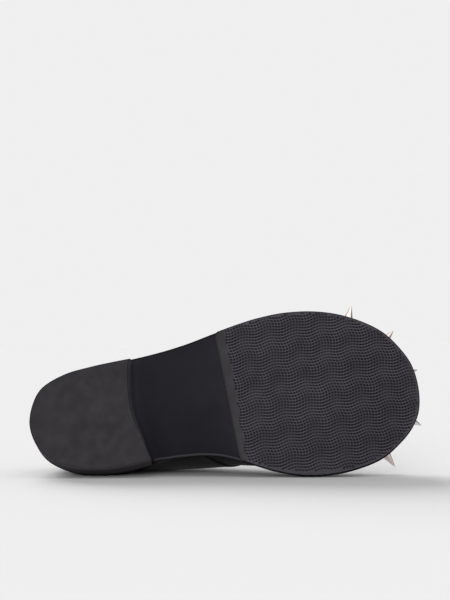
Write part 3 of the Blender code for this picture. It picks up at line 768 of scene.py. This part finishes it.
def make_heel():
    """Heel block: a rounded bottom edge, sides that widen upwards and a curved front."""
    rings = [raised(heel_loop(inset, 0.0), 0.0) for inset in (2.6, 1.4)]
    for angle in np.radians((0.0, 30.0, 60.0, 90.0)):
        plan = heel_loop(HEEL_ROUND * (1 - sin(angle)), 0.0)
        rings.append(raised(plan, HEEL_ROUND * (1 - cos(angle))))
    for level in spread(0.12, 1.0, 8):
        plan = heel_loop(0.0, level)
        rings.append(raised(plan, (seat(plan[:, 0]) - WELT_THICK - WAIST_THICK - 2.0 * CLEAR) * level))
    shape = Shape().sweep(rings, finish=HEEL_BOTTOM)
    size = len(rings[0])
    for number, face in enumerate(shape.faces):
        # the heel's front face takes the lighter copy of the heel rubber: painted light
        front = max(k % size for k in face) >= size - BREAST_POINTS
        if min(face) >= (4 if front else 3) * size:
            shape.finish[number] = LIT_HEEL_FRONT if front else HEEL_SIDE
    # painted light on the heel's inner side, which lies in shade towards the floor
    shape.marks["painted_light"] = straight(HEEL_SIDE_PAINTED_LIGHT, np.vstack(shape.points)[:, 1])
    piece("heel_block", shape, [rubber(name) for name in HEEL_RUBBERS], ["heel"])


def make_sole():
    shape = Shape()
    add_forefoot(shape)
    add_waist(shape)
    piece("sole", shape, [rubber(name) for name in SOLE_RUBBERS], ["outsole"])


def loop_shares(count):
    """Shares all the way round: outer side forward, inner side back."""
    return (("outer", spread(0, 1, count + 1)[:-1]), ("inner", spread(1, 0, count + 1)[:-1]))


def make_welt():
    """Welt: a strip round the foot of the upper with its outer edge rounded."""
    # inset from the welt's edge and height below its top
    profile = ((0.5, 3.0), (0.12, 2.8), (0.0, 2.4), (0.0, 0.7), (0.2, 0.2), (0.7, 0.0))
    columns = []
    for side, shares in loop_shares(WELT_POINTS):
        inside = foot_inset(side, shares) + WALL + WELT_SEAT
        column = [(WELT_INSET + inset, drop) for inset, drop in profile]
        column += [(inside * 0.5, 0.0), (inside, 0.0), (inside, WELT_THICK)]
        plans = [(edge(side, shares, inset)[0], drop) for inset, drop in column]
        columns.append(np.stack([raised(plan, seat(plan[:, 0]) - drop) for plan, drop in plans], 1))
    shape = Shape().sweep(np.concatenate(columns), closed=True)
    piece("welt_strip", shape, [leather("welt_leather", 0.48, 0.04)], ["welt"])


def make_insole():
    """Insole, dished a little along the middle."""
    low, high = [], []
    across = spread(0, 1, 16)
    for share in spread(*INSOLE_ENDS, 80):
        ends = [edge(s, share, foot_inset(s, share) + WALL + INSOLE_GAP)[0] for s in SIDES]
        plan = ends[0] + (ends[1] - ends[0]) * across[:, None]
        base = seat(plan[:, 0]) + CLEAR
        dish = INSOLE_DISH * np.sin(pi * across)
        low.append(raised(plan, base))
        high.append(raised(plan, base + INSOLE_THICK - dish))
    shape = Shape().slab(np.array(low), np.array(high))
    piece("footbed", shape, [lining("footbed_leather")], ["insole"], bevel=0.7)


def make_upper():
    """Upper: vamp, quarters lapped over it, lining, and a rolled top edge."""
    ups = np.concatenate((spread(0.0, 0.9, 40), spread(0.9, 1.0, 12)[1:]))
    # distance back from the quarter's front edge and the leather's height there
    rolled = ((1.2, 1.0), (0.6, 0.96), (0.25, 0.82), (0.0, 0.5))
    front = seam(ups)
    vamp = front[:, None] + (1 - front)[:, None] * spread(0, 1, VAMP_COLUMNS)
    shape = Shape()
    for side in SIDES:
        step = share_step(side, front, ups)
        columns = [(front - rolled[0][0] * step) * k for k in spread(0, 1, QUARTER_COLUMNS)[:-2]]
        heights = [1.0] * len(columns) + [height for away, height in rolled]
        quarter = np.array(columns + [front - away * step for away, height in rolled]).T
        grids = []
        for shares, off in ((quarter, np.array(heights) * QUARTER_STEP), (vamp, 0.0),
                            (np.hstack((quarter, vamp[:, 1:])), -WALL)):
            points = on_wall(side, shares, ups[:, None], np.broadcast_to(off, shares.shape))[0]
            points[0, :, 2] = seat(points[0, :, 0]) + CLEAR
            grids.append(points)
        starts = [shape.add(grid, grid_faces(*grid.shape[:2]), finish)
                  for grid, finish in zip(grids, (OUTSIDE, OUTSIDE, INSIDE))]
        quarter_at, vamp_at, inside_at = starts
        wide = [grid.shape[1] for grid in grids]
        last = wide[0] - 1
        lap = [(quarter_at + i * wide[0] + last, vamp_at + i * wide[1]) for i in range(len(ups))]
        shape.more([(a, c, d, b) for (a, b), (c, d) in zip(lap, lap[1:])])
        for outer, inner, count in ((quarter_at, inside_at, last), (vamp_at, inside_at + last, wide[1] - 1)):
            shape.more([(outer + j, outer + j + 1, inner + j + 1, inner + j) for j in range(count)], INSIDE)
        shape.more([(quarter_at + last, vamp_at, inside_at + last)], INSIDE)
        outside, inside = grids[0][-1], grids[2][-1, :wide[0]]
        rise = unit(inside - grids[2][-2, :wide[0]])
        roll = [outside]
        for turn in np.radians((45.0, 90.0, 135.0)):
            middle = (outside + inside) / 2 + (outside - inside) / 2 * cos(turn)
            roll.append(middle + rise * TOPLINE_ROLL * sin(turn))
        roll.append(inside)
        shape.add(np.array(roll), grid_faces(len(roll), wide[0]), OUTSIDE)
    materials = [leather("upper_leather", 0.36, 0.14), lining("lining_leather")]
    piece("leather_upper", shape, materials, ["upper"], crease=50.0)


def make_tongue():
    """Tongue under the facings, with a rounded end that stands out of the throat."""
    half = TONGUE_POINTS
    shares = np.concatenate([spread(*cut) for cut in TONGUE_CUTS])
    grids = []
    for depth in (WALL + TONGUE_GAP + TONGUE_THICK, WALL + TONGUE_GAP):
        grid = []
        for share in shares:
            ups = spread(straight(TONGUE_SIDE, share), 1.0, half)
            sides = [on_wall(side, share, ups, -depth)[0] for side in SIDES]
            section = np.vstack((sides[0], sides[1][::-1]))
            section[:, 2] -= straight(TONGUE_DROP, share)
            grid.append(section)
        run = unit(grid[-1][half] - grid[-5][half])
        base, away = grid[-1], spread(-1.0, 1.0, 2 * half)
        for k in TONGUE_END:
            moved = base + run * (TONGUE_RISE * k * (1 - TONGUE_ROUND * np.abs(away)**3))[:, None]
            grid.append(moved[half] + (moved - moved[half]) * (1 - TONGUE_NARROW * k))
        grids.append(np.array(grid))
    skin = leather("tongue_skin", 0.42, 0.05)
    piece("tongue_leather", Shape().slab(*grids), [skin], ["tongue"], bevel=0.7)


def circle(first, second, count):
    """Directions all the way round, from the first towards the second."""
    turn = spread(0.0, tau, count + 1)[:-1, None]
    return np.cos(turn) * first + np.sin(turn) * second


def turned(centre, normal, profile, segments):
    """Rings of a turned shape about a direction, from radius and height pairs."""
    aside = unit(np.cross(normal, (0, 1, 0) if abs(normal[1]) < 0.9 else (1, 0, 0)))
    around = circle(aside, np.cross(normal, aside), segments)
    return np.array([centre + normal * height + around * radius for radius, height in profile])


def make_stud(name, side, share, up, material):
    """Cone stud with a small land at its foot and a rounded point."""
    base = STUD_BASE / 2
    profile = ((base - 0.3, -1.6), (base, -1.2), (base, 0.2), (base - 0.12, 0.45), (0.75, STUD_HEIGHT - 1.7),
               (0.34, STUD_HEIGHT - 0.42), (0.2, STUD_HEIGHT - 0.14), (0.04, STUD_HEIGHT))
    shape = Shape().sweep(turned(*on_wall(side, share, up, CLEAR), profile, STUD_SIDES))
    piece(f"cone_{name}", shape, [material], [name], crease=40.0)


def make_eyelet(side, number, share, material):
    """Rolled eyelet ring with its barrel going down into the leather."""
    outer, inner = EYELET_OUTER / 2, EYELET_INNER / 2
    middle = CLEAR + EYELET_HEIGHT - EYELET_ROLL
    ring = (outer - inner) / 2
    profile = [(inner + ring - ring * cos(turn), middle + EYELET_ROLL * sin(turn))
               for turn in spread(0.0, pi, 9)]
    profile += [(outer - 0.1, -0.1), (inner - 0.05, -0.1)]
    rings = turned(*eyelet_place(side, share, QUARTER_STEP), profile, EYELET_SIDES)
    name = f"eyelet_{side}_{number}"
    shape = Shape().sweep(rings, closed=True)
    piece(f"ring_{name}", shape, [material], [name], crease=60.0)


def make_lace(number, share, material):
    """Flat lace bar that comes up out of one eyelet, crosses the throat and goes down into the other."""
    lift = QUARTER_STEP + CLEAR + EYELET_HEIGHT + CLEAR + LACE_THICK / 2 + 0.2
    along, height, width = np.array(LACE_RISE).T
    path = []
    for side in SIDES:
        foot = up_below_crest(side, share, EYELET_BACK)
        path.append(on_wall(side, share, foot + (0.995 - foot) * along, lift * height)[0])
    path = np.vstack((path[0], path[1][::-1]))
    wide = unit(wall_point("outer", share + 0.01, 0.95) - wall_point("outer", share - 0.01, 0.95))
    turn = spread(0.0, tau, CORD_SIDES + 1)[:-1]
    # a flat cord's section is fuller than an ellipse
    across, over = (np.sign(wave) * np.abs(wave)**0.7 for wave in (np.cos(turn), np.sin(turn)))
    table = np.column_stack((np.arange(len(path)), path, np.concatenate((width, width[::-1]))))
    smooth = read(table, spread(0.0, len(path) - 1.0, LACE_RINGS))
    centres = smooth[:, :3]
    rings = []
    for i, (point, fullness) in enumerate(zip(centres, smooth[:, 3])):
        ahead = centres[min(i + 1, LACE_RINGS - 1)] - centres[max(i - 1, 0)]
        thick = np.cross(unit(ahead), wide)
        rings.append(point + across[:, None] * wide * LACE_WIDTH / 2 * fullness
                     + over[:, None] * thick * LACE_THICK / 2)
    name = f"lace_bar_{number}"
    piece(f"flat_{name}", Shape().sweep(rings), [material], [name], crease=60.0)


def add_stitches(shape, points, normals, length, gap, thick):
    """Row of stitches along a line on a surface."""
    walk = walked(points)
    count = max(1, int(walk[-1] / (length + gap)))
    # place along the stitch and share of its full thickness
    profile = ((-0.5, 0.35), (-0.34, 0.9), (0.0, 1.0), (0.34, 0.9), (0.5, 0.35))
    for middle in (np.arange(count) + 0.5) * walk[-1] / count:
        place, normal, tip = (np.array([np.interp(at, walk, column) for column in line.T]) for at, line in
                              ((middle, points), (middle, normals), (middle + 0.1, points)))
        normal, ahead = unit(normal), unit(tip - place)
        around = circle(np.cross(normal, ahead), normal, STITCH_SIDES)
        rings = []
        for along, fat in profile:
            centre = place + ahead * along * length + normal * thick * (0.20 * fat - 0.30)
            rings.append(centre + fat * thick / 2 * around)
        shape.sweep(rings)


def make_upper_stitching():
    """Rows along the quarter's front edge, the top edge, the facing and the back seam."""
    shape = Shape()
    for side in SIDES:
        ups = spread(0.015, 0.975, 160)
        rows = [(seam(ups) - away * share_step(side, seam(ups), ups), ups) for away in FRONT_ROWS]
        # top edge and facing: first share, last share, points, distance below the crest
        for first, last, count, below in ((0.004, 0.566, 240, 2.4), (0.375, 0.545, 90, 19.0)):
            shares = spread(first, last, count)
            rows.append((shares, np.array([up_below_crest(side, share, below) for share in shares])))
        ups = spread(0.02, 0.93, 90)
        rows.append((BACK_ROW * share_step(side, 0.012, ups), ups))
        for shares, ups in rows:
            add_stitches(shape, *on_wall(side, shares, ups, QUARTER_STEP), *UPPER_STITCH)
    piece("upper_stitching", shape, [thread("black_thread", 0.012)], crease=60.0)


def make_welt_stitching():
    shape = Shape()
    points = []
    for side, shares in loop_shares(300):
        inset = (WELT_INSET + foot_inset(side, shares)) / 2
        plan = edge(side, shares, np.maximum(inset, WELT_ROW))[0]
        points.append(raised(plan, seat(plan[:, 0])))
    points = np.vstack(points + [points[0][:1]])
    add_stitches(shape, points, np.tile((0, 0, 1), (len(points), 1)), *WELT_STITCH)
    piece("welt_stitching", shape, [thread("welt_thread", 0.016)], crease=60.0)


class Nodes:
    """Short way to wire the nodes of a material or of the sky."""

    def __init__(self, name, owners=bpy.data.materials, shader="Principled BSDF"):
        owner = owners.new(name)
        owner.use_nodes = True
        self.owner, self.tree = owner, owner.node_tree
        self.shader = self.tree.nodes[shader]
        self.places = self.node("TexCoord")

    def join(self, socket, value):
        """Links a socket to another one, or sets its value."""
        if isinstance(value, bpy.types.NodeSocket):
            self.tree.links.new(value, socket)
        else:
            socket.default_value = (*value, 1.0) if isinstance(value, tuple) else value

    def set(self, name, value):
        self.join(self.shader.inputs[name], value)

    def node(self, kind, inputs=None, **settings):
        """Outputs of a new node, whose inputs are joined by name or number."""
        made = self.tree.nodes.new("ShaderNode" + kind)
        for key, value in settings.items():
            setattr(made, key, value)
        for key, value in (inputs or {}).items():
            self.join(made.inputs[key], value)
        return made.outputs

    def texture(self, kind, size_mm, inputs=None, **settings):
        inputs = {"Vector": self.places["Object"], "Scale": 1.0 / (size_mm * MM), **(inputs or {})}
        return self.node(kind, inputs, **settings)

    def noise(self, size_mm, detail=4.0, rough=0.55):
        return self.texture("TexNoise", size_mm, {"Detail": detail, "Roughness": rough})["Fac"]

    def cells(self, size_mm):
        return self.texture("TexVoronoi", size_mm, feature="F1")["Distance"]

    def spread(self, value, low, high, out_low=0.0, out_high=1.0):
        inputs = {"Value": value, "From Min": low, "From Max": high, "To Min": out_low, "To Max": out_high}
        return self.node("MapRange", inputs)["Result"]

    def math(self, operation, a, b):
        return self.node("Math", {0: a, 1: b}, operation=operation)[0]

    def mix(self, share, first, second):
        """Blend of two colours; 6 and 7 are the node's colour inputs and 2 its colour output."""
        return self.node("Mix", {0: share, 6: first, 7: second}, data_type="RGBA")[2]

    def tones(self, share, first, second):
        self.set("Base Color", self.mix(share, first, second))

    def rough(self, size_mm, low, high):
        self.set("Roughness", self.spread(self.noise(size_mm), 0.3, 0.7, low, high))

    def bump(self, height, strength, distance_mm):
        inputs = {"Height": height, "Strength": strength, "Distance": distance_mm * MM}
        self.set("Normal", self.node("Bump", inputs)["Normal"])


def rubber(name):
    """Moulded black rubber: cloudy bloom over a fine matt grain, blended to another tone by a mark; the
    marks paint shade into the tread's pits and light onto the waist and the heel's sides.
    """
    dark, light, gloss, rough, grain, *marks = RUBBERS[name]
    n = Nodes(f"{name}_rubber")
    tone = n.mix(n.spread(n.noise(22.0, 5.0, 0.6), 0.35, 0.68), dark, light)
    for mark, other in marks:
        tone = n.mix(n.node("Attribute", attribute_name=mark)["Fac"], tone, other)
    n.set("Base Color", tone)
    n.rough(9.0, rough - 0.05, rough + 0.05)
    n.set("Specular IOR Level", gloss)
    n.bump(n.noise(0.5, 3.0), grain, 0.08)
    return n.owner


def leather(name, rough, coat):
    """Polished black leather with a fine pebble grain."""
    n = Nodes(name)
    grain = n.math("ADD", n.math("MULTIPLY", n.cells(0.9), 0.6), n.math("MULTIPLY", n.noise(0.5, 3.0), 0.4))
    n.tones(n.spread(n.noise(30.0), 0.3, 0.7), (0.0042, 0.0041, 0.0045), (0.0060, 0.0058, 0.0063))
    n.rough(12.0, rough - 0.05, rough + 0.07)
    n.set("Specular IOR Level", 0.13)
    n.set("Coat Weight", coat)
    n.set("Coat Roughness", 0.30)
    n.bump(grain, 0.16, 0.12)
    return n.owner


def lining(name):
    """Dark brown lining leather, dull, with a faint grain."""
    n = Nodes(name)
    n.tones(n.spread(n.noise(14.0, 5.0), 0.3, 0.7), (0.036, 0.027, 0.021), (0.052, 0.040, 0.031))
    n.rough(3.0, 0.56, 0.70)
    n.bump(n.cells(0.7), 0.2, 0.1)
    return n.owner


def thread(name, tone):
    n = Nodes(name)
    n.tones(n.noise(0.4, 2.0), (tone * 0.6, tone * 0.6, tone * 0.62), (tone, tone, tone * 1.03))
    n.rough(0.6, 0.6, 0.8)
    n.bump(n.noise(0.15, 2.0), 0.4, 0.08)
    return n.owner


def cord():
    """Woven cotton lace."""
    n = Nodes("lace_cord")
    weave = n.cells(0.55)
    n.tones(n.spread(weave, 0.0, 0.7), (0.020, 0.020, 0.021), (0.007, 0.007, 0.0075))
    n.rough(1.2, 0.72, 0.88)
    n.bump(weave, 0.7, 0.25)
    return n.owner


def metal(name, low, high, rough):
    n = Nodes(name)
    n.tones(n.noise(2.5), low, high)
    n.set("Metallic", 1.0)
    n.rough(1.5, rough - 0.04, rough + 0.06)
    n.bump(n.noise(0.3, 3.0), 0.05, 0.05)
    return n.owner


def make_camera():
    """Camera at the photograph's angle to the shoe, with the aimed point on its pixel."""
    away = unit((tan(radians(VIEW_YAW)), tan(radians(VIEW_DELTA)), -1.0))
    forward = -away
    right = unit(np.array((1, 0, 0)) - forward * forward[0])
    down = np.cross(forward, right)
    roll = radians(VIEW_ROLL)
    axes = np.array((cos(roll) * right + sin(roll) * down,
                     -sin(roll) * right + cos(roll) * down, forward))
    aim = unit((AIM_PIXEL[0] - IMAGE_SIZE[0] / 2, AIM_PIXEL[1] - IMAGE_SIZE[1] / 2, FOCAL_PIXELS))
    swing = np.array(Vector((0, 0, 1)).rotation_difference(Vector(aim)).to_matrix())
    axes = (swing @ axes) @ TURN.T
    data = bpy.data.cameras.new("camera")
    data.sensor_width = 36.0
    data.lens = FOCAL_PIXELS * data.sensor_width / IMAGE_SIZE[1]
    data.clip_start, data.clip_end = 0.05, 100.0
    camera = shown(bpy.data.objects.new("camera", data))
    spot = placed(np.array(AIM_POINT) + away * VIEW_DISTANCE)
    turn = np.column_stack((axes[0], -axes[1], -axes[2]))
    camera.matrix_world = Matrix.Translation(Vector(spot)) @ Matrix(turn.tolist()).to_4x4()
    bpy.context.scene.camera = camera


def dim_reflections(sky):
    """Shapes the sky for reflections alone."""
    split = sky.node("SeparateXYZ", {0: sky.places["Generated"]})
    front = sky.spread(split["Y"], *FRONT_BOUNDS, DIM_SHARE - 1.0, 0.0)
    top = sky.spread(split["Z"], *TOP_BOUNDS, 0.0, TOP_GAIN)
    glossy = sky.node("LightPath")["Is Glossy Ray"]
    change = sky.math("MULTIPLY", sky.math("ADD", front, top), glossy)
    sky.set("Strength", sky.math("ADD", change, 1.0))


def make_stage():
    """Plain pale floor and sky of one tone, with a soft sun from behind and a weaker one from the front."""
    mesh = bpy.data.meshes.new("floor")
    low, high = -FLOOR_REACH, FLOOR_REACH
    mesh.from_pydata([(low, low, 0), (high, low, 0), (high, high, 0), (low, high, 0)], [], [(0, 1, 2, 3)])
    floor = shown(bpy.data.objects.new("floor", mesh))
    paper = Nodes("floor_paper")
    paper.set("Base Color", (FLOOR_TONE,) * 3)
    paper.set("Roughness", 1.0)
    paper.set("Specular IOR Level", 0.0)
    mesh.materials.append(paper.owner)
    sky = Nodes("studio", bpy.data.worlds, "Background")
    bpy.context.scene.world = sky.owner
    sky.set("Color", (BACK_TONE,) * 3)
    dim_reflections(sky)
    for name, source, width, share, mirrored in SUNS:
        data = bpy.data.lights.new(name, "SUN")
        toward = unit(source)
        data.energy = (BACK_TONE / FLOOR_TONE - BACK_TONE) * share * pi / toward[2]
        data.angle = radians(width)
        sun = shown(bpy.data.objects.new(name, data))
        sun.rotation_mode = "QUATERNION"
        sun.rotation_quaternion = Vector(toward).to_track_quat("Z", "Y")
        sun.visible_glossy = mirrored
    bpy.context.scene.view_settings.view_transform = "Standard"


make_camera()
make_stage()
make_sole()
make_heel()
make_welt()
make_insole()
make_upper()
make_tongue()
STEEL = metal("stud_steel", (0.62, 0.535, 0.505), (0.71, 0.62, 0.585), 0.17)
DARK_STEEL = metal("eyelet_steel", (0.045, 0.045, 0.05), (0.07, 0.07, 0.075), 0.34)
CORD = cord()
for stud in STUDS:
    make_stud(*stud, STEEL)
for eyelet_number, eyelet_share in enumerate(EYELET_SHARES, 1):
    for eyelet_side in SIDES:
        make_eyelet(eyelet_side, eyelet_number, eyelet_share, DARK_STEEL)
    make_lace(eyelet_number, eyelet_share, CORD)
make_upper_stitching()
make_welt_stitching()

bpy.context.view_layer.update()
